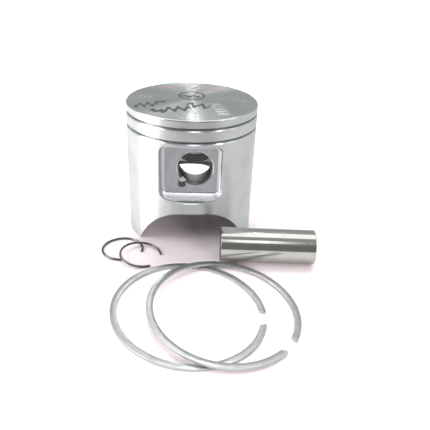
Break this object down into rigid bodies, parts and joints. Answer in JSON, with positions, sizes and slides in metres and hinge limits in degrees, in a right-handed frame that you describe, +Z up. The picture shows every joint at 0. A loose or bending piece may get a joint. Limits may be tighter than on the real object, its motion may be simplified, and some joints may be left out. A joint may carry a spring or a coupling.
{
  "type": "piston",
  "caption": "Motorcycle engine piston with a shallow domed crown, ring grooves and a pin bore, laid out with its hollow wrist pin, wire circlips and open piston rings.",
  "frame": {"origin": "middle of the footprint of the laid-out kit, on the surface it stands on", "axes": "+Z up along the piston's axis, out of its crown; -Y towards the viewer, from the piston to the rings, and along the pin bore; +X to the right, towards the wrist pin's far end"},
  "size_m": [0.1122, 0.158, 0.0738],
  "materials": {
    "piston_alloy": "fine-turned bare aluminium alloy, satin crown and skirt, milled recesses",
    "pin_steel": "hardened steel, ground and lapped to a mirror",
    "wire_steel": "dark drawn spring wire, lightly oiled",
    "ring_iron": "satin ground sides, bright running face"
  },
  "bodies": {
    "piston": {"piston_body": "piston_alloy", "ring_peg_upper": "wire_steel", "ring_peg_lower": "wire_steel"},
    "wrist_pin": {"wrist_pin": "pin_steel"},
    "circlip_left": {"circlip_left": "wire_steel"},
    "circlip_right": {"circlip_right": "wire_steel"},
    "ring_lower": {"ring_lower": "ring_iron"},
    "ring_upper": {"ring_upper": "ring_iron"}
  },
  "joints": [
    {"name": "wrist_pin_lift", "type": "slide", "parent": "piston", "child": "wrist_pin", "axis": [0, 0, 1], "range_m": [0, 0.0363]},
    {"name": "circlip_left_lift", "type": "slide", "parent": "piston", "child": "circlip_left", "axis": [0, 0, 1], "range_m": [0, 0.045]},
    {"name": "circlip_right_lift", "type": "slide", "parent": "circlip_left", "child": "circlip_right", "axis": [0, 0, 1], "range_m": [0, 0.045]},
    {"name": "ring_lower_lift", "type": "slide", "parent": "piston", "child": "ring_lower", "axis": [0, -0.5, 0.866], "range_m": [0, 0.075]},
    {"name": "ring_upper_lift", "type": "slide", "parent": "ring_lower", "child": "ring_upper", "axis": [0, -0.5, 0.866], "range_m": [0, 0.075]}
  ]
}
